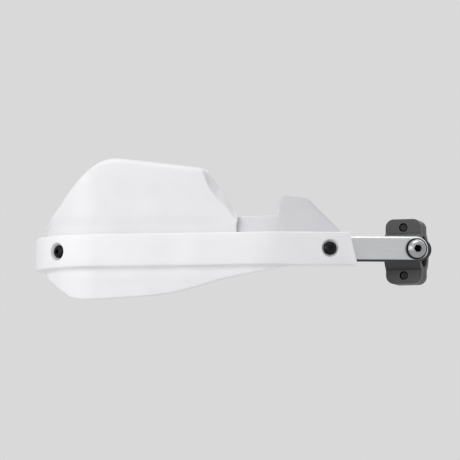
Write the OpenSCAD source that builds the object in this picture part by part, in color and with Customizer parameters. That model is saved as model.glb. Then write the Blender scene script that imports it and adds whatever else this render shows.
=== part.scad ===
// Hand guard for a round bar that a hand holds: a bent aluminium backbone, bolted to the bar
// by a clamp at its inner end and by an expander in the bar's open end, carries a moulded
// guard shell and a wind deflector.
// The origin is the centre of the clamp's bore, on the round bar's axis. X runs along that bar,
// from its open end at -X inboard to +X, and Z is up. The guard's face looks to -Y.

/* [Round bar] */
// Diameter of the round bar where the clamp grips it
bar_d = 22; // [20:0.1:24]
// Diameter of the bore in the round bar's open end
bar_bore_d = 14.4; // [13.6:0.1:15.6]
// Distance from the clamp's middle to the bar's end
bar_end_x = 240; // [228:1:260]

/* [Backbone] */
// Height of the flat bar
strap_h = 18; // [17:0.5:20]
// Thickness of the flat bar
strap_t = 6; // [5:0.5:7]
// Chamfer along the flat bar's long edges
strap_edge = 1.2; // [0.6:0.1:1.6]
// Length of the straight leg in front of the bar's end
reach = 50; // [46:1:60]
// Radius of the outer corner at the middle of the flat bar
corner_r = 42; // [38:1:48]
// Slant of the long run, against the round bar
run_angle = 9.5; // [8:0.5:11]
// Radius of the inner bend
bend_r = 60; // [50:1:75]
// Slant of the inner arm, against the round bar
arm_angle = 25; // [23:0.5:27]
// Distance from the bar's axis to the middle of the flat bar at the pivot bolt
pivot_out = 30; // [30:0.5:34]

/* [Shell] */
// Wall of the moulded parts
wall = 2.8; // [2.4:0.1:3]
// Wall of the channel above and below the flat bar
flank = 2.1; // [1.8:0.1:2.6]
// Space between the flat bar and the channel's front wall
standoff = 2.2; // [1.8:0.1:2.8]
// How far the channel stands in front of the skirt
band_proud = 7.2; // [6.6:0.1:7.6]
// Length of the channel on the straight leg
leg_cover = 22; // [16:1:26]
// Distance from the pivot bolt to the channel's inner end
band_back = 46.5; // [44:0.5:50]
// Slant of the channel's inner end over its height
end_slant = 6; // [2:0.5:8]
// Height of the upper lip above the middle of the flat bar
lip_top = 23.5; // [22:0.5:24]
// Depth of the skirt below the middle of the flat bar
skirt_drop = 34; // [30:0.5:38]
// Height of the inner tab above the middle of the flat bar
tab_top = 38.5; // [34:0.5:42]
// Depth of the rim behind the shell's lower edge
rim_depth = 6; // [5:0.5:8]
// Number of ribs behind the skirt
rib_count = 4; // [2:1:5]

/* [Wind deflector] */
// Height of the deflector's peak above the middle of the flat bar
peak_top = 66.5; // [62:0.5:76]
// Height of the deflector at its inner corner
inner_top = 56; // [53:0.5:60]
// Radius of the rolled top edge
roll_r = 6; // [5:0.25:7]
// Radius of the crease at the inner edge
crease_r = 3.4; // [3.2:0.1:4]
// Depth of the flange behind the rolled edge
flange_w = 4; // [3:0.25:5]
// Width of the wing at the inner edge
wing_w = 9; // [7:0.25:10]
// How far the panel leans back at its peak
lean = 4; // [2:0.25:5]
// How far the mouldings flare forward beside the channel
flare = 1.2; // [0.6:0.1:1.6]
// Diameter of the locating bosses
boss_d = 7; // [6.4:0.2:7.6]

/* [Clamp] */
// Length of the clamp along the round bar
clamp_w = 26; // [24:1:32]
// Wall of the clamp round the bar
clamp_wall = 5; // [4.5:0.25:6]
// Gap between the clamp's two halves
clamp_gap = 2; // [1.4:0.2:2.6]
// Thickness of the ears at the bolts
ear_t = 9; // [8:0.5:10]
// How far the pad reaches inboard of the pivot bolt
pad_reach = 12.5; // [11:0.5:15]
// How far the pad reaches back along the flat bar from the pivot bolt
pad_back = 13; // [11:0.5:15]
// Height of the pad behind the flat bar
pad_h = 16; // [14:0.5:17]

/* [Bar end] */
// Length of the tapered spacer
spacer_len = 10; // [8:0.5:12]
// Length of the split sleeve
sleeve_len = 26; // [24:1:32]
// Length of the wedge nut
wedge_len = 16; // [14:1:18]

/* [Fasteners] */
// Thread diameter of the pivot bolt and the bar-end bolt
big_bolt_d = 8; // [8:0.1:8.2]
// Thread diameter of the clamp bolts
clamp_bolt_d = 6; // [5.8:0.1:6.2]
// Thread diameter of the shell bolts
shell_bolt_d = 5; // [4.8:0.1:5.2]
// Diameter of the recess round a shell bolt's head
recess_d = 13; // [12:0.25:14]
// Distance from the pivot bolt to the inner shell bolt
inner_bolt_back = 63; // [61:0.5:66]
// Angle round the corner from the leg to the outer shell bolt
outer_bolt_turn = 63; // [58:0.5:66]
// Thread diameter of the deflector's screws
screw_d = 3; // [2.6:0.1:3.2]

/* [Clearances] */
// Between a mould and what it lies on
seat_gap = 0.2; // [0.1:0.05:0.3]
// Between the flat bar and the channel's flanks
channel_gap = 0.4; // [0.3:0.05:0.6]
// Radial, round a bolt in a drilled hole
hole_gap = 0.3; // [0.2:0.05:0.5]
// Radial, round a bolt in a threaded hole
thread_gap = 0.1; // [0.05:0.05:0.15]
// Radial, between the clamp and the round bar
bar_gap = 0.05; // [0.02:0.01:0.1]
// Radial, between the expander and the round bar's bore
plug_gap = 0.15; // [0.1:0.05:0.25]

/* [Hidden] */
$fn = 96;

// The path of the flat bar's middle, as straight and round stretches laid end to end
leg_x = -(bar_end_x + spacer_len + strap_t / 2);
corner = [leg_x + corner_r, -reach];
pivot = pivot_out * [sin(arm_angle), -cos(arm_angle)];
run_start = corner + corner_r * [sin(run_angle), -cos(run_angle)];
run_dir = [cos(run_angle), sin(run_angle)];
arm_dir = [cos(arm_angle), sin(arm_angle)];
bend_turn = arm_angle - run_angle;
bend_chord = bend_r * [sin(arm_angle) - sin(run_angle), cos(run_angle) - cos(arm_angle)];
// The long run and the arm close the gap that the bend leaves between the corner and the pivot
rest = pivot - run_start - bend_chord;
cross_dirs = run_dir.x * arm_dir.y - run_dir.y * arm_dir.x;
run_len = (rest.x * arm_dir.y - rest.y * arm_dir.x) / cross_dirs;
arm_len = (run_dir.x * rest.y - run_dir.y * rest.x) / cross_dirs;
run_end = run_start + run_len * run_dir;
bend_centre = run_end + bend_r * [-sin(run_angle), cos(run_angle)];
arm_start = bend_centre + bend_r * [sin(arm_angle), -cos(arm_angle)];

// Distances along the path, counted from the start of the outer corner
function arc_len(r, turn) = r * turn * PI / 180;
s_leg = -reach;
s_run = arc_len(corner_r, 90 + run_angle);
s_bend = s_run + run_len;
s_arm = s_bend + arc_len(bend_r, bend_turn);
s_pivot = s_arm + arm_len;
s_outer_bolt = arc_len(corner_r, outer_bolt_turn);
s_inner_bolt = s_pivot - inner_bolt_back;

// Direction of the path at the distance s, and the point there that stands n in front of it
function heading(s) =
    s < 0 ? -90
    : s < s_run ? -90 + s / corner_r * 180 / PI
    : s < s_bend ? run_angle
    : s < s_arm ? run_angle + (s - s_bend) / bend_r * 180 / PI
    : arm_angle;
function front(h) = [sin(h), -cos(h)];
function middle(s) =
    s < 0 ? [leg_x, -reach - s]
    : s < s_run ? corner + corner_r * front(heading(s))
    : s < s_bend ? run_start + (s - s_run) * run_dir
    : s < s_arm ? bend_centre + bend_r * front(heading(s))
    : arm_start + (s - s_arm) * arm_dir;
function at(s, n) = middle(s) + n * front(heading(s));

// Point at t on a cardinal spline, which passes through the points at whole numbers of t
function spline(points, t) =
    let (
        last = len(points) - 1, i = min(floor(t), last - 1), f = t - i,
        p0 = points[max(i - 1, 0)], p1 = points[i], p2 = points[i + 1],
        p3 = points[min(i + 2, last)]
    )
    p1 * (2 * pow(f, 3) - 3 * f * f + 1) + p2 * (3 * f * f - 2 * pow(f, 3))
    + 0.5 * (p2 - p0) * (pow(f, 3) - 2 * f * f + f) + 0.5 * (p3 - p1) * (pow(f, 3) - f * f);
function curve(points, steps) = [for (t = [0:1 / steps:len(points) - 1]) spline(points, t)];

// Offsets of the moulded walls in front of the flat bar's middle
band_in = strap_t / 2 + standoff;
band_out = band_in + wall;
band_half = strap_h / 2 + channel_gap + flank;
skirt_out = band_out - band_proud;
skirt_in = skirt_out - wall;
lip_out = skirt_in - seat_gap;
lip_in = lip_out - wall;
flare_h = 6;
draft = 0.3;
round_edge = 1;

big_head_d = 1.625 * big_bolt_d;
big_head_h = 0.62 * big_bolt_d;
big_washer_d = 1.9 * big_bolt_d;
big_washer_t = 1.6;
clamp_head_d = 10 / 6 * clamp_bolt_d;
clamp_washer_t = 1.4;
shell_head_d = 1.9 * shell_bolt_d;
shell_head_h = 0.55 * shell_bolt_d;
shell_washer_t = 1;
shell_nut_t = 0.8 * shell_bolt_d;
shell_nut_af = 1.6 * shell_bolt_d;
screw_head_d = 2.8 * screw_d;
screw_head_h = 0.6 * screw_d;
spot_gap = 0.4;
recess_floor = strap_t / 2 + seat_gap + 1.6;
eps = 0.01;

// A wall that follows the path. Each ring lists its front skin from below and then its back skin,
// as points [distance, in front, up].
function xyz(p) = let (q = at(p[0], p[1])) [q.x, q.y, p[2]];
function quad(a, b, c, d) = [[a, b, c], [a, c, d]];
function flat_list(l) = [for (a = l) for (b = a) b];
module ribbon(rings) {
    last = len(rings) - 1;
    m = len(rings[0]);
    n = m / 2;
    fronts = [for (k = [0:last - 1], i = [0:n - 2])
        let (a = k * m + i, b = a + m) quad(a, a + 1, b + 1, b)];
    backs = [for (k = [0:last - 1], i = [0:n - 2])
        let (a = k * m + n + i, b = a + m) quad(a, b, b + 1, a + 1)];
    feet = [for (k = [0:last - 1]) let (a = k * m, b = a + m) quad(a, b, b + n, a + n)];
    tops = [for (k = [0:last - 1])
        let (a = k * m + n - 1, b = a + m) quad(a, a + n, b + n, b)];
    start = [for (i = [0:n - 2]) quad(i, i + n, i + n + 1, i + 1)];
    z = last * m;
    end = [for (i = [0:n - 2]) quad(z + i, z + i + 1, z + i + n + 1, z + i + n)];
    polyhedron([for (r = rings) for (p = r) xyz(p)],
        flat_list(concat(fronts, backs, feet, tops, start, end)), convexity = 8);
}

// Puts a piece that is drawn along +Z on the path, so that its +Z points to the front
module stand_at(s, n = 0, z = 0)
    translate([at(s, n).x, at(s, n).y, z]) rotate([90, 0, heading(s)]) children();

module hex(af, h) cylinder(d = af / cos(30), h = h, $fn = 6);

module ring(d, hole, h) difference() {
    cylinder(d = d, h = h);
    translate([0, 0, -eps]) cylinder(d = hole, h = h + 2 * eps);
}

// A bolt with a domed head, its underside at z = 0 and its shank down -Z
module button_bolt(d, head_d, head_h, length, key) difference() {
    union() {
        rotate_extrude() polygon([
            [0, 0], [head_d / 2, 0], [head_d / 2, 0.35 * head_h], [0.44 * head_d, 0.68 * head_h],
            [0.34 * head_d, 0.93 * head_h], [0.26 * head_d, head_h], [0, head_h]
        ]);
        translate([0, 0, -length]) rotate_extrude() polygon([
            [0, 0], [0.38 * d, 0], [d / 2, 0.12 * d], [d / 2, length + eps], [0, length + eps]
        ]);
    }
    translate([0, 0, 0.35 * head_h]) hex(key, head_h);
}

// A bolt with a straight cylindrical head, its underside at z = 0 and its shank down -Z
module cap_bolt(d, head_d, head_h, length, key) difference() {
    union() {
        rotate_extrude() polygon([
            [0, 0], [head_d / 2, 0], [head_d / 2, 0.88 * head_h], [0.46 * head_d, head_h],
            [0, head_h]
        ]);
        translate([0, 0, -length]) rotate_extrude() polygon([
            [0, 0], [0.38 * d, 0], [d / 2, 0.12 * d], [d / 2, length + eps], [0, length + eps]
        ]);
    }
    translate([0, 0, 0.45 * head_h]) hex(key, head_h);
}

module nut(d, af, t) difference() {
    intersection() {
        hex(af, t);
        rotate_extrude() polygon([
            [0, 0], [0.53 * af, 0], [0.58 * af, 0.06 * af], [0.58 * af, t - 0.06 * af],
            [0.53 * af, t], [0, t]
        ]);
    }
    translate([0, 0, -eps]) cylinder(d = d + 2 * thread_gap, h = t + 2 * eps);
}

// Where the path turns, rings stand this many degrees apart
turn_step = 4;
corner_stops = [for (a = [0:turn_step:90 + run_angle - 1]) arc_len(corner_r, a)];
bend_stops = [for (i = [0:5]) mix(s_bend, s_arm, i / 5)];
function mix(a, b, f) = a + (b - a) * f;

// One ring of the flat bar: chamfered all round, and narrowing where it rounds off past its end
// holes
function strap_ring(s) =
    let (
        past = max(0, s_leg - s, s - s_pivot),
        z = sqrt(pow(strap_h / 2, 2) - past * past),
        flat_r = strap_h / 2 - strap_edge,
        zi = past < 0.98 * flat_r ? sqrt(flat_r * flat_r - past * past) : 0.3 * z,
        n = strap_t / 2,
        ni = n - max(0, norm([past, zi]) - flat_r),
        ne = n - strap_edge
    )
    [[s, ne, -z], [s, ni, -zi], [s, ni, zi], [s, ne, z],
        [s, -ne, -z], [s, -ni, -zi], [s, -ni, zi], [s, -ne, z]];
end_stops = [for (a = [0:12:84]) strap_h / 2 * sin(a)];
strap_stops = concat(
    [for (i = [len(end_stops) - 1:-1:0]) s_leg - end_stops[i]], corner_stops,
    [s_run], bend_stops, [for (d = end_stops) s_pivot + d]
);

module backbone() color("silver") difference() {
    ribbon([for (s = strap_stops) strap_ring(s)]);
    for (s = [s_leg, s_pivot])
        stand_at(s) cylinder(d = big_bolt_d + 2 * hole_gap, h = 2 * strap_t, center = true);
    for (s = [s_outer_bolt, s_inner_bolt])
        stand_at(s) cylinder(d = shell_bolt_d + 2 * hole_gap, h = 2 * strap_t, center = true);
    // A flat seat for the washer on the hollow side of the corner
    stand_at(s_outer_bolt, -strap_t)
        cylinder(d = 2 * (shell_bolt_d + spot_gap), h = strap_t / 2);
}

// Lower edge of the skirt, along the path and up
flank_z = band_half + draft;
bead = 0.4;
skirt_edge = [
    [s_run - 60, -flank_z - bead], [s_run - 48.5, -0.49 * skirt_drop],
    [s_run - 36, -0.69 * skirt_drop], [s_run - 27.5, -0.84 * skirt_drop],
    [s_run - 18, -0.975 * skirt_drop], [s_run, -skirt_drop],
    [s_run + 31.5, -0.955 * skirt_drop], [s_run + 52.5, -0.89 * skirt_drop],
    [s_run + 73.5, -0.75 * skirt_drop], [s_run + 90, -0.61 * skirt_drop],
    [s_bend, -0.47 * skirt_drop], [s_arm, -0.37 * skirt_drop - bead],
    [s_arm + 10, -flank_z - bead]
];
skirt_table = [for (p = curve(skirt_edge, 4)) [p[0], min(p[1], -flank_z - bead)]];

// Upper edge of the lip, which starts with a slant at the corner and ends with the tab on the arm
lip_start = s_run - 0.95 * corner_r;
tab_start = s_inner_bolt - 0.555 * inner_bolt_back;
tab_end = s_inner_bolt + 0.16 * inner_bolt_back;
tab_w = tab_end - tab_start;
lip_table = [
    [lip_start, flank_z + bead], [lip_start + 11, lip_top - 0.5], [lip_start + 14, lip_top],
    [tab_start, lip_top], [tab_start + 0.5, tab_top - 2.5], [tab_start + 1.2, tab_top - 0.7],
    [tab_start + 2.8, tab_top], [tab_start + 0.27 * tab_w, 0.98 * tab_top],
    [tab_start + 0.44 * tab_w, 0.94 * tab_top], [tab_start + 0.49 * tab_w, 0.914 * tab_top],
    [tab_start + 0.52 * tab_w, 0.87 * tab_top], [tab_end, flank_z + bead]
];

// The skirt flares forward under the channel and leans back to its lower edge
flare_table = [
    [-skirt_drop - 3, skirt_out + flare - 0.5 * lean],
    [-band_half - 1 - flare_h, skirt_out + flare], [-band_half - 1, skirt_out]
];
function skirt_n(z) = lookup(z, flare_table);

// One ring of the shell: the skirt with its rim, the channel over the flat bar, and the lip
function shell_ring(s) =
    let (
        low = lookup(s, skirt_table), top = lookup(s, lip_table),
        high = -flank_z - low,
        rim = rim_depth * min(1, max(0, high / wall - 1.4)),
        t = min(wall, 0.6 * high),
        n0 = skirt_n(low),
        h = strap_h / 2 + channel_gap,
        z = band_half - draft,
        r = round_edge,
        skin = [for (f = [0.35, 0.6, 0.8]) let (z = mix(low, -flank_z, f)) [s, skirt_n(z), z]],
        hide = [for (f = [0.15, 0.35, 0.6, 0.8])
            let (z = mix(low + t, -h, f)) [s, skirt_n(z) - wall, z]]
    )
    concat(
        [[s, n0 - wall - rim, low], [s, n0 - 0.6, low], [s, n0, low + min(0.6, 0.3 * high)]],
        skin,
        [[s, skirt_out, -flank_z], [s, band_out - r, -z], [s, band_out - 0.3 * r, -z + 0.3 * r],
            [s, band_out, -z + r], [s, band_out, z - r], [s, band_out - 0.3 * r, z - 0.3 * r],
            [s, band_out - r, z], [s, lip_out, flank_z], [s, lip_out, top]],
        [[s, n0 - wall - rim, low + t], [s, n0 - wall, low + t]],
        hide,
        [[s, skirt_in, -h], [s, band_in, -h], [s, band_in, -0.8 * h], [s, band_in, -0.6 * h],
            [s, band_in, 0.6 * h], [s, band_in, 0.8 * h], [s, band_in, h], [s, lip_in, h],
            [s, lip_in, top]]
    );

// Rings stand close together where the path turns, and where an edge does
shell_from = -leg_cover;
shell_to = s_pivot - band_back + end_slant;
shell_stops = concat(
    corner_stops, [for (i = [0:15]) s_run + i * run_len / 16],
    [for (s = bend_stops) if (s < tab_start - 1) s],
    [for (p = lip_table) if (p[0] >= tab_start) p[0]], [shell_to]
);
function apart(l, i = 0, last = shell_from) =
    i >= len(l) ? []
    : l[i] - last < 0.3 ? apart(l, i + 1, last)
    : concat([l[i]], apart(l, i + 1, l[i]));
module shell_walls() ribbon([for (s = concat([shell_from], apart(shell_stops))) shell_ring(s)]);

screw_spots = [s_run - 0.48 * corner_r, s_run + 0.155 * run_len, s_run + 0.67 * run_len];
screw_z = (band_half + lip_top) / 2;

module shell_boss(s) stand_at(s, strap_t / 2 + seat_gap)
    cylinder(d = recess_d + 2 * flank, h = standoff - seat_gap + 0.2 * wall);

// A rib stands behind the skirt, with its foot sunk in the wall
module rib(s) {
    top = -strap_h / 2 - channel_gap;
    low = lookup(s, skirt_table) + 0.5 * wall;
    foot = flare - 0.5 * wall;
    stand_at(s, skirt_in) rotate([0, -90, 0]) linear_extrude(0.6 * wall, center = true)
        polygon([
            [foot + 0.5 * wall, top - 1], [-rim_depth, top - 1],
            [-1, mix(top, low, 0.7)], [foot, mix(top, low, 0.7)]
        ]);
}

module guard_shell() color("white") difference() {
    union() {
        shell_walls();
        for (s = [s_outer_bolt, s_inner_bolt]) shell_boss(s);
        for (i = [0:rib_count - 1]) rib(s_run + (i + 0.5) * run_len / rib_count);
    }
    for (s = [s_outer_bolt, s_inner_bolt]) {
        stand_at(s) cylinder(d = shell_bolt_d + 2 * hole_gap, h = 2 * band_out);
        stand_at(s, recess_floor) cylinder(d1 = shell_head_d + 2 * spot_gap, d2 = recess_d,
            h = band_out - recess_floor + eps);
    }
    for (s = screw_spots) {
        stand_at(s, lip_in - 1, screw_z) cylinder(d = boss_d + 2 * seat_gap, h = wall + 2);
        stand_at(s, lip_in - wall, screw_z) cylinder(d = screw_head_d + 2 * spot_gap, h = wall);
    }
    // The slanted inner end
    stand_at(s_pivot - band_back, 0) linear_extrude(4 * band_out, center = true) polygon([
        [-end_slant / 2, band_half + 1], [end_slant / 2, -band_half - 1],
        [3 * end_slant, -band_half - 1], [3 * end_slant, band_half + 1]
    ]);
}

// The deflector's outer edge, along the path and up, from its foot at the corner to its inner end
foot_z = band_half + draft + 2 * seat_gap;
edge_from = s_run - 1.43 * corner_r;
edge_to = s_run + 0.85 * run_len;
edge_points = [
    [edge_from, foot_z + 2], [s_run - 37, 0.39 * peak_top], [s_run - 22, 0.665 * peak_top],
    [s_run - 10.5, 0.845 * peak_top], [s_run, 0.952 * peak_top], [s_run + 11, peak_top],
    [s_run + 24, mix(peak_top, inner_top, 0.11)], [s_run + 40, mix(peak_top, inner_top, 0.31)],
    [s_run + 56, mix(peak_top, inner_top, 0.51)], [s_run + 72, mix(peak_top, inner_top, 0.73)],
    [s_run + 79, inner_top], [s_run + 84, 0.86 * inner_top], [s_run + 92, 0.66 * inner_top],
    [edge_to + 1, 0.425 * inner_top]
];
edge_last = len(edge_points) - 1;

rings = 46;
wing_angle = 40;
full_roll_h = 16;
// 0 along the top, 1 along the inner edge
function wing(t) = let (f = min(max((t - 9.2) / 1.4, 0), 1)) f * f * (3 - 2 * f);

// One ring of the panel: the outer skin's points and then the inner skin's
function panel_ring(k) =
    let (
        t = edge_last * k / rings,
        tip = spline(edge_points, t),
        foot_s = mix(edge_from, edge_to, k / rings),
        line = [foot_s, foot_z] - tip,
        high = norm(line),
        down = line / high,
        w = wing(t),
        // A short ring has room for a part of the roll only
        bend = mix(90, wing_angle, w) * min(1, high / full_roll_h),
        r = mix(roll_r, crease_r, w),
        tail = min(mix(flange_w, wing_w, w), 0.27 * high),
        out = r * sin(bend) + tail * cos(bend),
        face = tip + down * min(out, 0.8 * high),
        rise = face[1] - foot_z,
        z1 = foot_z + min(0.5 * flare_h, 0.2 * rise),
        z2 = foot_z + min(1.8 * flare_h, 0.6 * rise),
        tilt = max(0, (face[1] - z2)) / peak_top * lean,
        lower = [[foot_s, skirt_out, foot_z], [foot_s, skirt_out, z1],
            [foot_s, skirt_out + flare, z2]],
        upper = [for (f = [0.25:0.25:1])
            let (p = mix([foot_s, z2], face, f))
            [p[0], skirt_out + flare - tilt * f * f, p[1]]],
        n_face = upper[3][1],
        roll = [for (a = [0.25:0.25:1])
            let (p = face - down * r * sin(a * bend))
            [p[0], n_face - r * (1 - cos(a * bend)), p[1]]],
        end_p = [roll[3][0], roll[3][1], roll[3][2]] + tail * [
            -down[0] * cos(bend), -sin(bend), -down[1] * cos(bend)],
        skin = concat(lower, upper, roll, [end_p]),
        normals = concat([for (i = [0:6]) 0], [for (a = [0.25:0.25:1]) a * bend], [bend]),
        inner = [for (i = [0:len(skin) - 1])
            skin[i] - wall * [-down[0] * sin(normals[i]), cos(normals[i]),
                -down[1] * sin(normals[i])]]
    )
    concat(skin, inner);

module panel() ribbon([for (k = [0:rings]) panel_ring(k)]);

module wind_deflector() color("white") difference() {
    union() {
        panel();
        for (s = screw_spots)
            stand_at(s, lip_in + seat_gap, screw_z) cylinder(d = boss_d, h = wall + 1);
    }
    for (s = screw_spots)
        stand_at(s, lip_in - 1, screw_z) cylinder(d = screw_d + 2 * thread_gap, h = wall + 3);
}

module deflector_screws() color("dimgray") for (s = screw_spots)
    stand_at(s, lip_in, screw_z) rotate([180, 0, 0])
        button_bolt(screw_d, screw_head_d, screw_head_h, wall + 1.2, 0.7 * screw_d);

module shell_bolt(s) stand_at(s, recess_floor)
    button_bolt(shell_bolt_d, shell_head_d, shell_head_h,
        recess_floor + strap_t / 2 + shell_washer_t + shell_nut_t + 1, 0.6 * shell_bolt_d);
module shell_washer(s) stand_at(s, -strap_t / 2 - shell_washer_t)
    ring(2 * shell_bolt_d, shell_bolt_d + hole_gap, shell_washer_t);
module shell_nut(s) stand_at(s, -strap_t / 2 - shell_washer_t - shell_nut_t)
    nut(shell_bolt_d, shell_nut_af, shell_nut_t);

module outer_shell_bolt() color("black") shell_bolt(s_outer_bolt);
module inner_shell_bolt() color("black") shell_bolt(s_inner_bolt);
module outer_shell_washer() color("gray") shell_washer(s_outer_bolt);
module inner_shell_washer() color("gray") shell_washer(s_inner_bolt);
module outer_shell_nut() color("gray") shell_nut(s_outer_bolt);
module inner_shell_nut() color("gray") shell_nut(s_inner_bolt);

// Clamp: two halves that meet at the bar's middle plane, with a bolt above and below
bar_r = bar_d / 2 + bar_gap;
clamp_head_r = clamp_head_d / 2;
clamp_washer_d = 1.9 * clamp_bolt_d;
bolt_z = bar_r + clamp_bolt_d / 2 + 3.2;
ear_z = bolt_z + clamp_head_r + 1;
ear_round = 6;
module half_section(back) intersection() {
    union() {
        circle(r = bar_r + clamp_wall);
        translate([back ? 0 : -ear_t, -ear_z]) square([ear_t, 2 * ear_z]);
    }
    translate([back ? clamp_gap / 2 : -2 * ear_z, -2 * ear_z]) square([2 * ear_z, 4 * ear_z]);
}

// The halves' outline from the side, drawn as [y, z], with rounded ears
module clamp_half(back) intersection() {
    rotate([90, 0, 90]) linear_extrude(clamp_w, center = true) half_section(back);
    rotate([90, 0, 0]) linear_extrude(8 * ear_t, center = true) union() {
        square([clamp_w, 2 * (ear_z - ear_round)], center = true);
        square([clamp_w - 2 * ear_round, 2 * ear_z], center = true);
        for (x = [-1, 1], z = [-1, 1])
            translate([x * (clamp_w / 2 - ear_round), z * (ear_z - ear_round)])
                circle(r = ear_round);
    }
}

pad_face = pivot_out - strap_t / 2;
pad_relief = 1.5;
module pad_shape() {
    r = pad_h / 2;
    for (x = [pad_reach - r, r - pad_back]) translate([x, 0]) circle(r = r);
    translate([r - pad_back, -r]) square([pad_reach + pad_back - pad_h, pad_h]);
}

// From here on +Z runs along the pivot bolt, away from the bar
module at_pivot(out) rotate([90, 0, arm_angle]) translate([0, 0, out]) children();

module clamp_body() color("#202020") difference() {
    union() {
        clamp_half(false);
        intersection() {
            at_pivot(0) linear_extrude(pad_face) pad_shape();
            translate([-2 * clamp_w, -4 * ear_z - clamp_gap / 2, -ear_z])
                cube([4 * clamp_w, 4 * ear_z, 2 * ear_z]);
        }
    }
    rotate([0, 90, 0]) cylinder(r = bar_r, h = 4 * clamp_w, center = true);
    // Beside the bore the pad stands clear of the round bar
    translate([clamp_w / 2, 0, 0]) rotate([0, 90, 0])
        cylinder(r = bar_r + pad_relief, h = 2 * clamp_w);
    at_pivot(bar_r + 2.5) cylinder(d = big_bolt_d + 2 * thread_gap, h = pivot_out);
    for (z = [-bolt_z, bolt_z])
        translate([0, 0, z]) rotate([90, 0, 0])
            cylinder(d = clamp_bolt_d + 2 * thread_gap, h = 4 * ear_t, center = true);
}

module clamp_cap() color("#202020") difference() {
    clamp_half(true);
    rotate([0, 90, 0]) cylinder(r = bar_r, h = 4 * clamp_w, center = true);
    for (z = [-bolt_z, bolt_z]) {
        translate([0, 0, z]) rotate([90, 0, 0])
            cylinder(d = clamp_bolt_d + 2 * hole_gap, h = 4 * ear_t, center = true);
        translate([0, ear_t, z]) rotate([-90, 0, 0])
            cylinder(d = clamp_washer_d + 2 * spot_gap, h = ear_t);
    }
}

module clamp_bolt(z) translate([0, ear_t + clamp_washer_t, z]) rotate([-90, 0, 0])
    cap_bolt(clamp_bolt_d, clamp_head_d, clamp_bolt_d, 2 * ear_t + clamp_washer_t - 1,
        5 / 6 * clamp_bolt_d);
module upper_clamp_bolt() color("#303030") clamp_bolt(bolt_z);
module lower_clamp_bolt() color("#303030") clamp_bolt(-bolt_z);
module clamp_washers() color("gray") for (z = [-bolt_z, bolt_z])
    translate([0, ear_t, z]) rotate([-90, 0, 0])
        ring(clamp_washer_d, clamp_bolt_d + 2 * thread_gap, clamp_washer_t);

module pivot_washer() color("#303030") at_pivot(pivot_out + strap_t / 2)
    ring(big_washer_d, big_bolt_d + 2 * thread_gap, big_washer_t);
module pivot_bolt() color("darkgray") at_pivot(pivot_out + strap_t / 2 + big_washer_t)
    button_bolt(big_bolt_d, big_head_d, big_head_h,
        pivot_out + strap_t / 2 + big_washer_t - bar_r - 3.5, 0.625 * big_bolt_d);

// Bar end: from here on +Z runs along the bar's axis, from outside the bar to its inside
plug_r = bar_bore_d / 2 - plug_gap;
module at_bar_end(x) translate([-bar_end_x + x, 0, 0]) rotate([0, 90, 0]) children();

module bar_end_spacer() color("silver") at_bar_end(-spacer_len) difference() {
    rotate_extrude() polygon([
        [0, 0], [strap_h / 2 - 1.2, 0], [strap_h / 2 - 0.6, 0.6],
        [bar_d / 2, spacer_len - 2], [bar_d / 2, spacer_len - 0.5],
        [bar_d / 2 - 0.5, spacer_len], [0, spacer_len]
    ]);
    translate([0, 0, -eps]) cylinder(d = big_bolt_d + 2 * hole_gap, h = spacer_len + 2 * eps);
}

wedge_big = plug_r - 0.4;
wedge_small = big_bolt_d / 2 + 1.4;
split_w = 1.5;
module expander_sleeve() color("#282828") at_bar_end(0) difference() {
    cylinder(r = plug_r, h = sleeve_len);
    translate([0, 0, -eps])
        cylinder(d = big_bolt_d + 2 * hole_gap, h = sleeve_len + 2 * eps);
    translate([0, 0, sleeve_len - wedge_len / 2]) cylinder(
        r1 = wedge_small + thread_gap, r2 = (wedge_small + wedge_big) / 2 + thread_gap,
        h = wedge_len / 2 + eps);
    for (a = [45, 135]) rotate(a) translate([-plug_r - 1, -split_w / 2, sleeve_len / 3])
        cube([2 * plug_r + 2, split_w, sleeve_len]);
}

module wedge_nut() color("silver") at_bar_end(sleeve_len - wedge_len / 2) difference() {
    rotate_extrude() polygon([
        [0, 0], [wedge_small, 0], [wedge_big, wedge_len], [wedge_big - 0.8, wedge_len + 0.8],
        [0, wedge_len + 0.8]
    ]);
    translate([0, 0, -eps])
        cylinder(d = big_bolt_d + 2 * thread_gap, h = wedge_len + 1);
}

module bar_end_washer() color("silver") at_bar_end(-spacer_len - strap_t - big_washer_t)
    ring(big_washer_d, big_bolt_d + 2 * thread_gap, big_washer_t);
module bar_end_bolt() color("#303030") at_bar_end(-spacer_len - strap_t - big_washer_t)
    rotate([180, 0, 0]) button_bolt(big_bolt_d, big_head_d, big_head_h,
        big_washer_t + strap_t + spacer_len + sleeve_len + wedge_len / 2 + 1, 0.625 * big_bolt_d);

backbone();
guard_shell();
wind_deflector();
deflector_screws();
outer_shell_bolt();
outer_shell_washer();
outer_shell_nut();
inner_shell_bolt();
inner_shell_washer();
inner_shell_nut();
clamp_body();
clamp_cap();
upper_clamp_bolt();
lower_clamp_bolt();
clamp_washers();
pivot_bolt();
pivot_washer();
bar_end_bolt();
bar_end_washer();
bar_end_spacer();
expander_sleeve();
wedge_nut();
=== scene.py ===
# A hand guard for a round bar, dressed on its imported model. All sizes are in millimetres until a
# point is laid on the bar's path, which turns them to metres. The round bar's axis is X, and the
# guard's face looks to -Y.
import math

import bmesh
import bpy
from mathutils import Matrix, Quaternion, Vector


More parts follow.
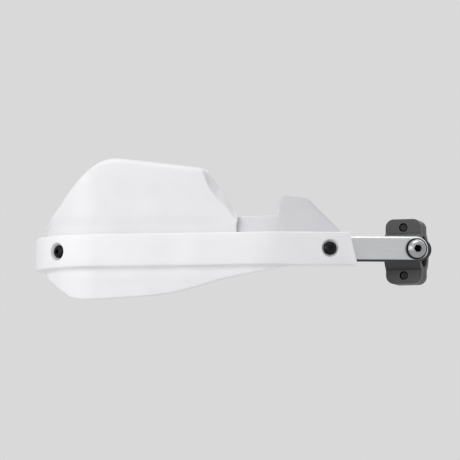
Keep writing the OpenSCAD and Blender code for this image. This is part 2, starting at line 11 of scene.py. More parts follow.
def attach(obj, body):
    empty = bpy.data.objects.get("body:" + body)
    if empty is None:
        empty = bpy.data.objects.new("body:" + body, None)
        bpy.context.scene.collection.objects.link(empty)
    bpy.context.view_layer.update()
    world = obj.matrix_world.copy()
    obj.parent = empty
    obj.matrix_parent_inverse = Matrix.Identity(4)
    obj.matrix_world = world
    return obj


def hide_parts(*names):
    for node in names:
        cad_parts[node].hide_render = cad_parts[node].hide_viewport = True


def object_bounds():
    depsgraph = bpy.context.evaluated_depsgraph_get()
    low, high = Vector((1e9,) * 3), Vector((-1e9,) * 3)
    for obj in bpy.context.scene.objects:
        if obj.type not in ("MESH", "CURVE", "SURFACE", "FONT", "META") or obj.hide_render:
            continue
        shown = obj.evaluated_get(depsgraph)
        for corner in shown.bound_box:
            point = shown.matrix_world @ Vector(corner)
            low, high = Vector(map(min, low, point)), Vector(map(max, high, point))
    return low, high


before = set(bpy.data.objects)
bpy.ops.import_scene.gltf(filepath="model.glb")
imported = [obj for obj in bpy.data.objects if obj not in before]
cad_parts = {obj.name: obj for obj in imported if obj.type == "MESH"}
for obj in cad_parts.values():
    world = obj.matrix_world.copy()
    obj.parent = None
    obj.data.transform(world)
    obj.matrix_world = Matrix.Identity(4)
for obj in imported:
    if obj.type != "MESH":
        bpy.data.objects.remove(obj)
cad_box = [list(corner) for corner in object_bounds()]
bpy.ops.object.select_all(action="DESELECT")

# The flat bar. One length of 18 by 6 mm aluminium, rounded at its ends, chamfered along its
# edges and drilled for four bolts, then bent cold round the hand and tumbled. The moulded parts
# follow it, so its bent path is worked out here.
MM = 0.001
LEG_X, REACH = -253.0, 50.0
CORNER_R, RUN_TURN = 42.0, math.radians(9.5)
BEND_R, ARM_TURN = 60.0, math.radians(25.0)
PIVOT_OUT = 30.0
STRAP_H, STRAP_T, STRAP_EDGE = 18.0, 6.0, 1.4
PIVOT_HOLE, SHELL_HOLE, WASHER_SEAT = 8.6, 5.6, 10.8
OUTER_BOLT_ANGLE, INNER_BOLT_BACK = math.radians(63), 63


def front(turn):
    """The direction that the bar's face looks in, where the bar has turned so far from X."""
    return Vector((math.sin(turn), -math.cos(turn)))


def along(turn):
    return Vector((math.cos(turn), math.sin(turn)))


def cross(a, b):
    return a.x * b.y - a.y * b.x


corner_mid = Vector((LEG_X + CORNER_R, -REACH))
run_start = corner_mid + CORNER_R * front(RUN_TURN)
pivot_point = PIVOT_OUT * front(ARM_TURN)
gap_left = pivot_point - run_start - BEND_R * (front(ARM_TURN) - front(RUN_TURN))
across = cross(along(RUN_TURN), along(ARM_TURN))
run_len = cross(gap_left, along(ARM_TURN)) / across
arm_len = cross(along(RUN_TURN), gap_left) / across
bend_mid = run_start + run_len * along(RUN_TURN) - BEND_R * front(RUN_TURN)
arm_start = bend_mid + BEND_R * front(ARM_TURN)

S_LEG = -REACH
S_RUN = CORNER_R * (math.pi / 2 + RUN_TURN)
S_BEND = S_RUN + run_len
S_ARM = S_BEND + BEND_R * (ARM_TURN - RUN_TURN)
S_PIVOT = S_ARM + arm_len
S_OUTER_BOLT = CORNER_R * OUTER_BOLT_ANGLE
S_INNER_BOLT = S_PIVOT - INNER_BOLT_BACK


def turn_at(s):
    """How far the bar has turned from X at the distance s from the start of its outer corner."""
    if s < S_RUN:
        return max(0, s) / CORNER_R - math.pi / 2
    return RUN_TURN if s < S_BEND else min(ARM_TURN, RUN_TURN + (s - S_BEND) / BEND_R)


def on_path(s, n, z):
    """The point at the distance s along the bar, n in front of its middle and z up."""
    turn = turn_at(s)
    if s < 0:
        mid = Vector((LEG_X, -REACH - s))
    elif s < S_RUN:
        mid = corner_mid + CORNER_R * front(turn)
    elif s < S_BEND:
        mid = run_start + (s - S_RUN) * along(turn)
    elif s < S_ARM:
        mid = bend_mid + BEND_R * front(turn)
    else:
        mid = arm_start + (s - S_ARM) * along(turn)
    mid = mid + n * front(turn)
    return Vector((mid.x, mid.y, z)) * MM


def bend_on_path(piece):
    """Bends a piece that was modelled straight, with X along the bar and its face to -Y."""
    for v in piece.data.vertices:
        v.co = on_path(v.co.x / MM, -v.co.y / MM, v.co.z / MM)


def select(piece, kind, wanted):
    """In edit mode, selects the edges or faces that pass the test, and nothing else."""
    bpy.ops.mesh.select_mode(type=kind)
    bpy.ops.mesh.select_all(action="DESELECT")
    mesh = bmesh.from_edit_mesh(piece.data)
    for part in mesh.edges if kind == "EDGE" else mesh.faces:
        part.select = wanted(part)
    mesh.select_flush_mode()
    bmesh.update_edit_mesh(piece.data)


def apply(piece, kind, **settings):
    """Adds a modifier with its settings to the piece and applies it."""
    bpy.context.view_layer.objects.active = piece
    modifier = piece.modifiers.new(kind, kind)
    for name, value in settings.items():
        setattr(modifier, name, value)
    bpy.ops.object.modifier_apply(modifier=modifier.name)


def combine(piece, tool, operation):
    """Cuts the tool out of the piece, or unites them, and removes the tool."""
    apply(piece, "BOOLEAN", object=tool, operation=operation, solver="EXACT")
    bpy.data.objects.remove(tool)


def round_tool(s, n, z, d1, d2, height):
    """A round tool that stands on the path at n in front of the bar and points to the front."""
    turn = turn_at(s)
    mid = on_path(s, n + height / 2, z)
    bpy.ops.mesh.primitive_cone_add(
        vertices=64, radius1=d1 / 2 * MM, radius2=d2 / 2 * MM, depth=height * MM,
        location=mid, rotation=(math.pi / 2, 0, turn),
    )
    tool = bpy.context.object
    bpy.ops.object.transform_apply(location=True, rotation=True, scale=True)
    return tool


def shade(piece, angle):
    """Shades the piece smooth, but keeps the edges that are sharper than the angle in degrees."""
    bpy.ops.object.select_all(action="DESELECT")
    piece.select_set(True)
    bpy.context.view_layer.objects.active = piece
    bpy.ops.object.shade_smooth_by_angle(angle=math.radians(angle))


bar_from, bar_to = S_LEG - STRAP_H / 2, S_PIVOT + STRAP_H / 2
bpy.ops.mesh.primitive_cube_add(
    size=1, location=((bar_from + bar_to) / 2 * MM, 0, 0),
    scale=((bar_to - bar_from) * MM, STRAP_T * MM, STRAP_H * MM),
)
flat_bar = bpy.context.object
flat_bar.name = flat_bar.data.name = "flat_bar"
bpy.ops.object.transform_apply(location=True, rotation=True, scale=True)
bpy.ops.object.mode_set(mode="EDIT")
select(flat_bar, "EDGE", lambda e: abs(e.verts[0].co.y - e.verts[1].co.y) > 1 * MM)
bpy.ops.mesh.bevel(offset=(STRAP_H / 2 - 0.4) * MM, segments=12, affect="EDGES")
select(flat_bar, "EDGE", lambda e: e.verts[0].co.y * e.verts[1].co.y > 0)
bpy.ops.mesh.bevel(offset=STRAP_EDGE * MM, segments=1, affect="EDGES")
select(flat_bar, "EDGE", lambda e: 0.6 < e.calc_face_angle(0) < 1)
bpy.ops.mesh.bevel(offset=0.35 * MM, segments=2, affect="EDGES")
bend_cuts = [CORNER_R * math.radians(a) for a in (0, *range(2, 100, 3))] + [S_RUN]
bend_cuts += [S_BEND + (S_ARM - S_BEND) * i / 8 for i in range(9)]
for s in bend_cuts:
    bpy.ops.mesh.select_all(action="SELECT")
    bpy.ops.mesh.bisect(plane_co=(s * MM, 0, 0), plane_no=(1, 0, 0))
bpy.ops.object.mode_set(mode="OBJECT")

# The rolled grain runs along the bar, so the map is laid while the bar is straight
GRAIN_MAP = 100
bar_map = flat_bar.data.uv_layers.new(name="along_bar")
for loop in flat_bar.data.loops:
    spot = flat_bar.data.vertices[loop.vertex_index].co / MM
    bar_map.data[loop.index].uv = (spot.x / GRAIN_MAP, (spot.z + spot.y) / GRAIN_MAP)
bend_on_path(flat_bar)
for s, hole in (
    (S_LEG, PIVOT_HOLE), (S_PIVOT, PIVOT_HOLE),
    (S_OUTER_BOLT, SHELL_HOLE), (S_INNER_BOLT, SHELL_HOLE),
):
    combine(flat_bar, round_tool(s, -STRAP_T, 0, hole, hole, 2 * STRAP_T), "DIFFERENCE")
# The outer bolt's washer lies on the bend, so it has a flat seat milled for it
seat = round_tool(S_OUTER_BOLT, -STRAP_T, 0, WASHER_SEAT, WASHER_SEAT, STRAP_T / 2)
combine(flat_bar, seat, "DIFFERENCE")
shade(flat_bar, 20)


def colour(code):
    """A linear colour from an sRGB code such as #D9D9D9."""
    parts = [int(code[i:i + 2], 16) / 255 for i in (1, 3, 5)]
    return [c / 12.92 if c <= 0.04045 else ((c + 0.055) / 1.055) ** 2.4 for c in parts] + [1]


def add(tree, kind, inputs=None, **settings):
    """Adds a node with its settings, and its inputs as values or as links from other sockets."""
    new = tree.nodes.new(kind)
    for name, value in settings.items():
        setattr(new, name, value)
    for name, value in (inputs or {}).items():
        if isinstance(value, bpy.types.NodeSocket):
            tree.links.new(value, new.inputs[name])
        else:
            new.inputs[name].default_value = value
    return new


def new_material(name):
    """An empty material, its node tree and its output."""
    material = bpy.data.materials.new(name)
    material.use_nodes = True
    material.node_tree.nodes.clear()
    return material, material.node_tree, add(material.node_tree, "ShaderNodeOutputMaterial")


# Tumbled aluminium: an even satin grey. Its rolled grain still shows as faint lines along the
# bar, 0.8 mm apart here, coarser than the real ones so that they show, with small dents of 2 mm.
# The edge that faces down is painted darker, as painted shade under the bar.
tumbled_aluminium, tree, out = new_material("tumbled_aluminium")
place = add(tree, "ShaderNodeUVMap", uv_map="along_bar")
stretch = add(tree, "ShaderNodeMapping", {
    "Vector": place.outputs["UV"], "Scale": (0.04, 1, 1)})
lines = add(tree, "ShaderNodeTexNoise", {
    "Vector": stretch.outputs["Vector"], "Scale": GRAIN_MAP / 0.8, "Detail": 3.0})
spots = add(tree, "ShaderNodeTexCoord")
dents = add(tree, "ShaderNodeTexNoise", {
    "Vector": spots.outputs["Object"], "Scale": 1 / (2 * MM), "Detail": 2.0})
bright = add(tree, "ShaderNodeMix", {
    "Factor": lines.outputs["Fac"], "A": colour("#CFD0D2"), "B": colour("#E0E1E2")},
    data_type="RGBA")
facing = add(tree, "ShaderNodeSeparateXYZ", {"Vector": spots.outputs["Normal"]})
# Painted shade: the faces that look down are mixed towards dark grey.
underside_shade = add(tree, "ShaderNodeMapRange", {
    "Value": facing.outputs["Z"], "From Min": -0.25, "From Max": -0.6})
tone = add(tree, "ShaderNodeMix", {
    "Factor": underside_shade.outputs["Result"], "A": bright.outputs["Result"], "B": colour("#46474A")},
    data_type="RGBA")
dull = add(tree, "ShaderNodeMapRange", {
    "Value": dents.outputs["Fac"], "From Min": 0.3, "From Max": 0.7,
    "To Min": 0.36, "To Max": 0.5})
relief = add(tree, "ShaderNodeBump", {
    "Height": lines.outputs["Fac"], "Strength": 0.25, "Distance": 0.05 * MM})
pits = add(tree, "ShaderNodeBump", {
    "Height": dents.outputs["Fac"], "Normal": relief.outputs["Normal"],
    "Strength": 0.3, "Distance": 0.08 * MM})
metal = add(tree, "ShaderNodeBsdfPrincipled", {
    "Base Color": tone.outputs["Result"], "Roughness": dull.outputs["Result"],
    "Normal": pits.outputs["Normal"], "Metallic": 1.0})
tree.links.new(metal.outputs["BSDF"], out.inputs["Surface"])

flat_bar.data.materials.append(tumbled_aluminium)
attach(flat_bar, "root")
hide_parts("backbone")

# The guard shell. One white polypropylene moulding: a raised channel takes the flat bar, a skirt
# with a rim and ribs hangs below it, and a lip and a tab stand above. Two bolts through round
# recesses hold it to the bar.
WALL = 2.8
BAND_OUT, BAND_IN = 7.97, 5.2
BAND_HALF, BAND_FOOT = 11.5, 11.8
CHANNEL_HALF = 9.4
SKIRT_OUT, LIP_OUT = 0.8, -2.2
FLARE, FLARE_Z = 1.2, 18.5
SKIRT_DROP, LIP_TOP, TAB_TOP = 34.0, 23.5, 38.5
RIM_DEPTH = 6.0
BEAD = 0.4
EDGE_R, SHARP = 1.1, 50
RECESS_D, RECESS_FLOOR_D, RECESS_FLOOR = 13.0, 10.3, 4.8
BOSS_D, BOSS_BACK, BOSS_H = 17.2, 3.2, 2.5
RIB_T, RIB_W, RIB_COUNT = 1.7, 7, 4
SHELL_FROM, SHELL_END, END_SLANT = -22.0, S_PIVOT - 46.5, 6.0
SCREW_SPOTS = (S_RUN - 20.16, S_RUN + 0.155 * run_len, S_RUN + 0.67 * run_len)
SCREW_Z = (BAND_HALF + LIP_TOP) / 2
SCREW_PASSAGE = 7.4
TAB_START, TAB_END = S_INNER_BOLT - 34.97, S_INNER_BOLT + 10.08


def spline(points, t):
    """The point at t on a smooth curve that passes through the points at whole numbers of t."""
    i = min(int(t), len(points) - 2)
    f = t - i
    before, a = Vector(points[max(i - 1, 0)]), Vector(points[i])
    b, after = Vector(points[i + 1]), Vector(points[min(i + 2, len(points) - 1)])
    return (
        a * (2 * f ** 3 - 3 * f * f + 1) + b * (3 * f * f - 2 * f ** 3)
        + (b - before) * 0.5 * (f ** 3 - 2 * f * f + f) + (after - a) * 0.5 * (f ** 3 - f * f)
    )


def look_up(table, x):
    """The height at x on a line through the table's points."""
    if x <= table[0][0]:
        return table[0][1]
    for (x0, y0), (x1, y1) in zip(table, table[1:]):
        if x <= x1:
            return y0 + (y1 - y0) * (x - x0) / (x1 - x0)
    return table[-1][1]


# The skirt's lower edge, the upper edge of the lip and the tab, and the skirt's front face with
# its flare, as (along, up), (along, up) and (up, in front)
skirt_points = [
    (S_RUN - 60, -12.2), (S_RUN - 48.5, -0.49 * SKIRT_DROP), (S_RUN - 36, -0.69 * SKIRT_DROP),
    (S_RUN - 27.5, -0.84 * SKIRT_DROP), (S_RUN - 18, -0.975 * SKIRT_DROP), (S_RUN, -SKIRT_DROP),
    (S_RUN + 31.5, -0.955 * SKIRT_DROP), (S_RUN + 52.5, -0.89 * SKIRT_DROP),
    (S_RUN + 73.5, -0.75 * SKIRT_DROP), (S_RUN + 90, -0.61 * SKIRT_DROP),
    (S_BEND, -0.47 * SKIRT_DROP), (S_ARM, -0.37 * SKIRT_DROP - BEAD), (S_ARM + 10, -12.2),
]
skirt_line = [
    (p.x, min(p.y, -BAND_FOOT - BEAD))
    for p in (spline(skirt_points, i / 8) for i in range(8 * len(skirt_points) - 7))
]
lip_line = [
    (S_RUN - 40, BAND_FOOT + BEAD), (S_RUN - 29, LIP_TOP - 0.5), (S_RUN - 26, LIP_TOP),
    (TAB_START, LIP_TOP), (TAB_START + 0.3, TAB_TOP - 2.4), (TAB_START + 0.8, TAB_TOP - 1.1),
    (TAB_START + 1.6, TAB_TOP - 0.3), (TAB_START + 2.8, TAB_TOP),
    (TAB_START + 12, TAB_TOP - 0.8), (TAB_START + 18.8, TAB_TOP - 2),
    (TAB_START + 20.6, TAB_TOP - 2.6), (TAB_START + 22.1, TAB_TOP - 3.5),
    (TAB_START + 23.5, TAB_TOP - 5.1), (TAB_END, BAND_FOOT + BEAD),
]
skirt_face = [
    (-SKIRT_DROP - 3, SKIRT_OUT + FLARE - 2), (-FLARE_Z - 0.6, SKIRT_OUT + FLARE - 0.05),
    (-FLARE_Z + 0.6, SKIRT_OUT + FLARE - 0.25), (-BAND_HALF - 1.6, SKIRT_OUT + 0.1),
    (-BAND_HALF - 0.6, SKIRT_OUT),
]


def shell_ring(s):
    """The shell's section at s: the front from the rim up to the lip, then back down inside."""
    low, top = look_up(skirt_line, s), look_up(lip_line, s)
    high = -BAND_FOOT - low
    foot_n = look_up(skirt_face, low)
    rim = RIM_DEPTH * min(1, max(0, high / WALL - 1.4))
    thick = min(WALL, 0.6 * high)
    soft = min(EDGE_R, 0.3 * high)
    # The rim, its rounded front edge and the skirt's face
    skin = [(foot_n - WALL - rim, low), (foot_n - WALL - rim / 2, low), (foot_n - WALL, low)]
    for a in (0, 30, 60, 90):
        a = math.radians(a)
        skin.append((foot_n - soft * (1 - math.sin(a)), low + soft * (1 - math.cos(a))))
    steps = [0.12, 0.24, 0.36, 0.48, 0.6, 0.68, 0.76, 0.84, 0.92, 0.98]
    for f in steps:
        z = low + soft + (-BAND_FOOT - 0.3 - low - soft) * f
        skin.append((look_up(skirt_face, z), z))
    # The channel, with a small fillet at its foot and rounded edges
    skin += [(SKIRT_OUT + 0.05, -BAND_FOOT - 0.15), (SKIRT_OUT + 0.35, -BAND_FOOT + 0.05)]
    skin.append((BAND_OUT / 2, -BAND_FOOT + 0.15))
    for a in (0, 22.5, 45, 67.5, 90):
        a = math.radians(a)
        skin.append((
            BAND_OUT - EDGE_R * (1 - math.sin(a)), -BAND_HALF + EDGE_R * (1 - math.cos(a))))
    skin += [(BAND_OUT, z) for z in (-6, -2, 2, 6)]
    for a in (90, 67.5, 45, 22.5, 0):
        a = math.radians(a)
        skin.append((
            BAND_OUT - EDGE_R * (1 - math.sin(a)), BAND_HALF - EDGE_R * (1 - math.cos(a))))
    skin.append((BAND_OUT / 2, BAND_FOOT - 0.15))
    # The lip or the tab, with a rounded top
    skin += [(LIP_OUT + 0.4, BAND_FOOT - 0.05), (LIP_OUT, BAND_FOOT + 0.25)]
    rise = top - BAND_FOOT
    soft_top = min(0.8, 0.3 * rise)
    skin += [(LIP_OUT, BAND_FOOT + (rise - soft_top) * f) for f in (0.4, 0.7, 1)]
    skin.append((LIP_OUT - soft_top * 0.3, top - soft_top * 0.3))
    skin.append((LIP_OUT - soft_top, top))
    # Back down behind the lip, round the flat bar's seat and behind the skirt
    inside = [(LIP_OUT - WALL, top), (LIP_OUT - WALL, BAND_FOOT)]
    inside += [(LIP_OUT - WALL, CHANNEL_HALF), (BAND_IN, CHANNEL_HALF), (BAND_IN, 0)]
    inside += [(BAND_IN, -CHANNEL_HALF), (SKIRT_OUT - WALL, -CHANNEL_HALF)]
    inner_low = low + thick
    for f in reversed((0, 0.15, 0.35, 0.6, 0.8)):
        z = inner_low + (-CHANNEL_HALF - inner_low) * f
        inside.append((look_up(skirt_face, z) - WALL, z))
    inside.append((foot_n - WALL - rim, inner_low))
    return [(s, n, z) for n, z in skin + inside]


def ring_wall(name, rings):
    """A closed wall through rings of (along, in front, up): a grid whose points are laid on the
    rings, because their free outlines can't be had by moving whole edges."""
    rows, columns = len(rings[0]), len(rings) - 1
    bpy.ops.mesh.primitive_grid_add(x_subdivisions=columns, y_subdivisions=rows, size=1)
    wall = bpy.context.object
    wall.name = wall.data.name = name
    for v in wall.data.vertices:
        column, row = round((v.co.x + 0.5) * columns), round((v.co.y + 0.5) * rows) % rows
        s, n, z = rings[column][row]
        v.co = (s * MM, -n * MM, z * MM)
    bpy.ops.object.mode_set(mode="EDIT")
    bpy.ops.mesh.select_all(action="SELECT")
    bpy.ops.mesh.remove_doubles(threshold=0.0001 * MM)
    bpy.ops.mesh.select_all(action="SELECT")
    bpy.ops.mesh.fill_holes(sides=0)
    bpy.ops.object.mode_set(mode="OBJECT")
    return wall


def round_edges(piece, width):
    """Rounds the sharp edges that are left on a moulding."""
    apply(piece, "BEVEL", width=width * MM, segments=2, limit_method="ANGLE",
          angle_limit=math.radians(SHARP))


def add_rib(s):
    """A rib behind the skirt: its side is drawn as a plane, and extruded along the bar."""
    low = look_up(skirt_line, s) + WALL / 2
    top = -CHANNEL_HALF - 1
    foot = SKIRT_OUT - WALL + FLARE - WALL / 2
    tip = top + (low - top) * 0.7
    outline = [(foot + WALL / 2, top), (foot, tip), (foot - WALL, tip), (foot - RIB_W, top)]
    bpy.ops.mesh.primitive_plane_add(size=1)
    rib = bpy.context.object
    bpy.ops.object.mode_set(mode="EDIT")
    bpy.ops.mesh.delete(type="ONLY_FACE")
    bpy.ops.object.mode_set(mode="OBJECT")
    for v, (n, z) in zip(rib.data.vertices, (outline[0], outline[1], outline[3], outline[2])):
        v.co = ((s - RIB_T / 2) * MM, -n * MM, z * MM)
    bpy.ops.object.mode_set(mode="EDIT")
    bpy.ops.mesh.select_all(action="SELECT")
    bpy.ops.mesh.edge_face_add()
    bpy.ops.mesh.extrude_region_move(TRANSFORM_OT_translate={"value": (RIB_T * MM, 0, 0)})
    bpy.ops.mesh.select_all(action="SELECT")
    bpy.ops.mesh.normals_make_consistent()
    bpy.ops.object.mode_set(mode="OBJECT")
    bend_on_path(rib)
    return rib


stops = [SHELL_FROM + i * (0 - SHELL_FROM) / 8 for i in range(8)]
stops += [S_RUN * i / 48 for i in range(49)]
stops += [S_RUN + run_len * i / 56 for i in range(1, 57)]
stops += [S_BEND + (S_ARM - S_BEND) * i / 10 for i in range(1, 10)]
stops += [TAB_START + i for i in range(5, 58, 2)] + [p[0] for p in lip_line[3:]]
stops = sorted(s for s in stops if s < SHELL_END + END_SLANT)
stops = [s for i, s in enumerate(stops) if i == 0 or s - stops[i - 1] > 0.25]
shell = ring_wall("shell_moulding", [shell_ring(s) for s in stops])
# The inner end is cut on a slant
bpy.ops.object.mode_set(mode="EDIT")
bpy.ops.mesh.select_all(action="SELECT")
slant = END_SLANT / (2 * (BAND_HALF + 1))
bpy.ops.mesh.bisect(plane_co=(SHELL_END * MM, 0, 0), plane_no=(1, 0, slant),
                    clear_outer=True, use_fill=True)
bpy.ops.object.mode_set(mode="OBJECT")
bend_on_path(shell)
# At each bolt, a boss behind the channel's face, a tapered recess for the head and a hole
for s in (S_OUTER_BOLT, S_INNER_BOLT):
    combine(shell, round_tool(s, BOSS_BACK, 0, BOSS_D, BOSS_D, BOSS_H), "UNION")
    recess_h = BAND_OUT - RECESS_FLOOR + 0.01
    recess = round_tool(s, RECESS_FLOOR, 0, RECESS_FLOOR_D, RECESS_D, recess_h)
    combine(shell, recess, "DIFFERENCE")
    combine(shell, round_tool(s, 0, 0, SHELL_HOLE, SHELL_HOLE, 8), "DIFFERENCE")
for i in range(RIB_COUNT):
    combine(shell, add_rib(S_RUN + (i + 0.5) * run_len / RIB_COUNT), "UNION")
for s in SCREW_SPOTS:
    passage = round_tool(
        s, LIP_OUT - WALL - 1, SCREW_Z, SCREW_PASSAGE, SCREW_PASSAGE, WALL + 2)
    combine(shell, passage, "DIFFERENCE")
round_edges(shell, 0.3)
# Where the bevel had no room it left slivers of no area
bpy.ops.object.mode_set(mode="EDIT")
bpy.ops.mesh.select_all(action="SELECT")
bpy.ops.mesh.dissolve_degenerate(threshold=0.001 * MM)
bpy.ops.object.mode_set(mode="OBJECT")
shade(shell, SHARP)

# Moulded white polypropylene: a satin skin with a fine grain from the mould, 0.5 mm here, and
# faint cloudy patches of 30 mm where it has been handled and washed.
white_polypropylene, tree, out = new_material("white_polypropylene")
place = add(tree, "ShaderNodeTexCoord")
grain = add(tree, "ShaderNodeTexNoise", {
    "Vector": place.outputs["Object"], "Scale": 1 / (0.5 * MM), "Detail": 2.0})
clouds = add(tree, "ShaderNodeTexNoise", {
    "Vector": place.outputs["Object"], "Scale": 1 / (30 * MM), "Detail": 4.0})
tint = add(tree, "ShaderNodeMapRange", {
    "Value": clouds.outputs["Fac"], "From Min": 0.35, "From Max": 0.7})
tone = add(tree, "ShaderNodeMix", {
    "Factor": tint.outputs["Result"], "A": colour("#F2F1F3"), "B": colour("#EDECEF")},
    data_type="RGBA")
dull = add(tree, "ShaderNodeMapRange", {
    "Value": clouds.outputs["Fac"], "From Min": 0.3, "From Max": 0.7,
    "To Min": 0.38, "To Max": 0.48})
relief = add(tree, "ShaderNodeBump", {
    "Height": grain.outputs["Fac"], "Strength": 0.12, "Distance": 0.05 * MM})
plastic = add(tree, "ShaderNodeBsdfPrincipled", {
    "Base Color": tone.outputs["Result"], "Roughness": dull.outputs["Result"],
    "Normal": relief.outputs["Normal"], "IOR": 1.49})
tree.links.new(plastic.outputs["BSDF"], out.inputs["Surface"])


def shaded_plastic(name, light, dark):
    """A copy of the white plastic with two darker tones, as painted shade."""
    copy = white_polypropylene.copy()
    copy.name = name
    mix = copy.node_tree.nodes["Mix"]
    mix.inputs["A"].default_value, mix.inputs["B"].default_value = colour(light), colour(dark)
    return copy


# The lip and the tab take a greyer copy of the same plastic: painted shade that makes them darker
# than the channel.
shaded_polypropylene = shaded_plastic("thin_white_polypropylene", "#DFDEE1", "#DAD9DD")

shell.data.materials.append(white_polypropylene)
shell.data.materials.append(shaded_polypropylene)
# The faces above the channel's foot, on the lip and the tab, take the painted-shade copy.
for face in shell.data.polygons:
    if face.center.z > (BAND_FOOT + 0.5) * MM:
        face.material_index = 1
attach(shell, "root")
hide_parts("guard_shell")

# The wind deflector. A second white moulding of the same plastic, screwed to the lip from
# behind. Its top edge is rolled back over a flange, and its inner edge is creased into a wing.
PEAK_TOP, INNER_TOP = 66.48, 56.0
ROLL_R, CREASE_R = 6.0, 3.4
FLANGE_W, WING_W = 4.0, 9.0
LEAN = 4.0
FOOT_Z = 12.0
WING_TURN = math.radians(40)
WING_FROM, WING_BLEND = 9.2, 1.4
SCREW_BOSS, SCREW_HOLE = 7, 3.2
EDGE_FROM, EDGE_TO = S_RUN - 60.06, S_RUN + 0.85 * run_len
edge_points = [
    (EDGE_FROM, FOOT_Z + 2), (S_RUN - 37, 0.39 * PEAK_TOP), (S_RUN - 22, 0.665 * PEAK_TOP),
    (S_RUN - 10.5, 0.845 * PEAK_TOP), (S_RUN, 0.952 * PEAK_TOP), (S_RUN + 11, PEAK_TOP),
    (S_RUN + 24, 65.35), (S_RUN + 40, 63.25), (S_RUN + 56, 61.15), (S_RUN + 72, 58.85),
    (S_RUN + 79, INNER_TOP), (S_RUN + 84, 0.86 * INNER_TOP), (S_RUN + 92, 0.66 * INNER_TOP),
    (EDGE_TO + 1, 0.425 * INNER_TOP),
]


def wing_share(t):
    """0 along the rolled top edge and 1 along the winged inner edge, by the edge's points."""
    f = min(max((t - WING_FROM) / WING_BLEND, 0), 1)
    return f * f * (3 - 2 * f)


def deflector_ring(share):
    """A section from the foot up to the edge, and back down inside."""
    t = (len(edge_points) - 1) * share
    tip = spline(edge_points, t)
    foot_s = EDGE_FROM + (EDGE_TO - EDGE_FROM) * share
    line = Vector((foot_s, FOOT_Z)) - tip
    high = line.length
    down = line / high
    w = wing_share(t)
    bend = (math.pi / 2 + (WING_TURN - math.pi / 2) * w) * min(1, high / 16)
    r = ROLL_R + (CREASE_R - ROLL_R) * w
    tail = min(FLANGE_W + (WING_W - FLANGE_W) * w, 0.27 * high)
    face = tip + down * min(r * math.sin(bend) + tail * math.cos(bend), 0.8 * high)
    # A low step near the foot, and then the face, which leans back towards its top
    rise = face.y - FOOT_Z
    z1, z2 = FOOT_Z + min(6, 0.33 * rise), FOOT_Z + min(11.4, 0.6 * rise)
    tilt = max(0, face.y - z2) / PEAK_TOP * LEAN
    skin = [(foot_s, SKIRT_OUT, FOOT_Z, 0), (foot_s, SKIRT_OUT, z1 - 0.4, 0)]
    skin.append((foot_s, SKIRT_OUT + 0.1, z1 + 0.4, 0))
    skin.append((foot_s, SKIRT_OUT + FLARE - 0.15, z2 - 0.5, 0))
    skin.append((foot_s, SKIRT_OUT + FLARE, z2 + 0.5, 0))
    for i in range(1, 13):
        f = i / 12
        p = Vector((foot_s, z2 + 0.5)).lerp(face, f)
        skin.append((p.x, SKIRT_OUT + FLARE - tilt * f * f, p.y, 0))
    # The edge turns back through the bend and ends in a straight flange or wing
    n_face = skin[-1][1]
    for i in range(1, 9):
        a = bend * i / 8
        p = face - down * r * math.sin(a)
        skin.append((p.x, n_face - r * (1 - math.cos(a)), p.y, a))
    last = Vector(skin[-1][:3])
    for f in (0.4, 0.8, 0.95, 1):
        step = tail * f
        skin.append((last.x - down.x * step * math.cos(bend), last.y - math.sin(bend) * step,
                     last.z - down.y * step * math.cos(bend), bend))
    inside = [
        (s + WALL * down.x * math.sin(a), n - WALL * math.cos(a), z + WALL * down.y * math.sin(a))
        for s, n, z, a in reversed(skin)
    ]
    return [p[:3] for p in skin] + inside


deflector = ring_wall("deflector_moulding", [deflector_ring(i / 140) for i in range(141)])
bend_on_path(deflector)
for s in SCREW_SPOTS:
    boss = round_tool(s, LIP_OUT - WALL + 0.2, SCREW_Z, SCREW_BOSS, SCREW_BOSS, WALL + 1)
    combine(deflector, boss, "UNION")
    hole = round_tool(s, LIP_OUT - WALL - 1, SCREW_Z, SCREW_HOLE, SCREW_HOLE, WALL + 3)
    combine(deflector, hole, "DIFFERENCE")
round_edges(deflector, 0.5)
shade(deflector, SHARP)

# The panel takes a greyer copy of the same plastic: painted shade that makes it a little darker
# than the channel.
shaded_panel_polypropylene = shaded_plastic("panel_white_polypropylene", "#ECEBED", "#E7E6E9")
deflector.data.materials.append(shaded_panel_polypropylene)
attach(deflector, "root")
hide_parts("wind_deflector")

# The black bolts and screws: steel with a black zinc plating, a soft dark sheen that is a little
# uneven, in patches of 1.5 mm here.
black_zinc_steel, tree, out = new_material("black_zinc_steel")
place = add(tree, "ShaderNodeTexCoord")
patches = add(tree, "ShaderNodeTexNoise", {
    "Vector": place.outputs["Object"], "Scale": 1 / (1.5 * MM), "Detail": 3.0})
dull = add(tree, "ShaderNodeMapRange", {
    "Value": patches.outputs["Fac"], "From Min": 0.3, "From Max": 0.7,
    "To Min": 0.26, "To Max": 0.42})
tone = add(tree, "ShaderNodeMix", {
    "Factor": patches.outputs["Fac"], "A": colour("#1D1D1F"), "B": colour("#333337")},
    data_type="RGBA")
relief = add(tree, "ShaderNodeBump", {
    "Height": patches.outputs["Fac"], "Strength": 0.1, "Distance": 0.05 * MM})
steel = add(tree, "ShaderNodeBsdfPrincipled", {
    "Base Color": tone.outputs["Result"], "Roughness": dull.outputs["Result"],
    "Normal": relief.outputs["Normal"], "Metallic": 1.0})
tree.links.new(steel.outputs["BSDF"], out.inputs["Surface"])


def dress(finish, *names):
    """Puts the finish on the parts that come over from CAD."""
    for name in names:
        for slot in bpy.data.objects[name].material_slots:
            slot.material = finish


dress(black_zinc_steel, "outer_shell_bolt", "inner_shell_bolt", "deflector_screws",
      "upper_clamp_bolt", "lower_clamp_bolt", "bar_end_bolt", "pivot_washer")

